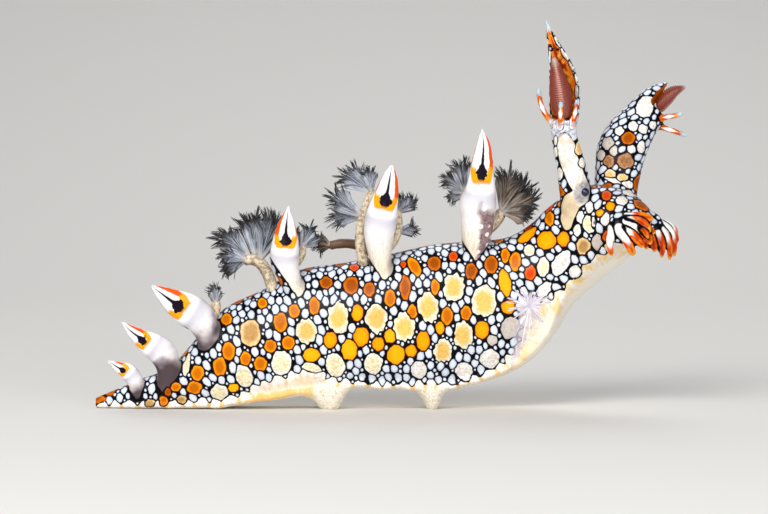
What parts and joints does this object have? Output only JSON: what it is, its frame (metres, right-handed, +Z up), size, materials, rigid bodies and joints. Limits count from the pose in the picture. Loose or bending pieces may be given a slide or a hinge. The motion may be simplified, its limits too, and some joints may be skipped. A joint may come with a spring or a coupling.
{
  "type": "nudibranch model",
  "caption": "Snake bornella nudibranch in life, gripping with its foot and rearing its head, with upright processes, feathery gills, sheathed rhinophores and fingered oral tentacles",
  "frame": {"origin": "on the floor, at the middle of the small flat under the foot's first grip, in the animal's middle plane", "axes": "+X along the body towards the head, +Y to the animal's left, +Z up"},
  "size_m": [0.0744, 0.0189, 0.0483],
  "materials": {
    "skin": "wet skin with a mosaic of white, cream and orange spots on black",
    "foot": "wet cream flesh",
    "process": "wet cream and white flesh with orange and black bands",
    "gill": "wet slate grey filaments with black tips",
    "club": "wet reddish brown leaflets",
    "eye": "dark and wet"
  },
  "bodies": {
    "root": {"head": "skin", "body_front": "skin", "body_middle": "skin", "body_rear": "skin", "body_tail": "skin", "foot_front": "foot", "foot_middle": "foot", "foot_tail": "foot", "oral_tentacle_right": "skin", "rhinophore_sheath_right": "skin", "rhinophore_club_right": "club", "eye_right": "eye", "process_right_1": "process", "process_right_2": "process", "process_right_3": "process", "process_right_4": "process", "process_right_5": "process", "process_right_6": "process", "gill_right_1_rear": "gill", "gill_right_1_front": "gill", "gill_right_2_rear": "gill", "gill_right_2_front": "gill", "gill_right_3_rear": "gill", "gill_right_3_front": "gill", "gill_right_4_front": "gill", "oral_tentacle_left": "skin", "rhinophore_sheath_left": "skin", "rhinophore_club_left": "club", "eye_left": "eye", "process_left_1": "process", "process_left_2": "process", "process_left_3": "process", "process_left_4": "process", "process_left_5": "process", "process_left_6": "process", "gill_left_1_rear": "gill", "gill_left_1_front": "gill", "gill_left_2_rear": "gill", "gill_left_2_front": "gill", "gill_left_3_rear": "gill", "gill_left_3_front": "gill", "gill_left_4_front": "gill"}
  },
  "joints": []
}
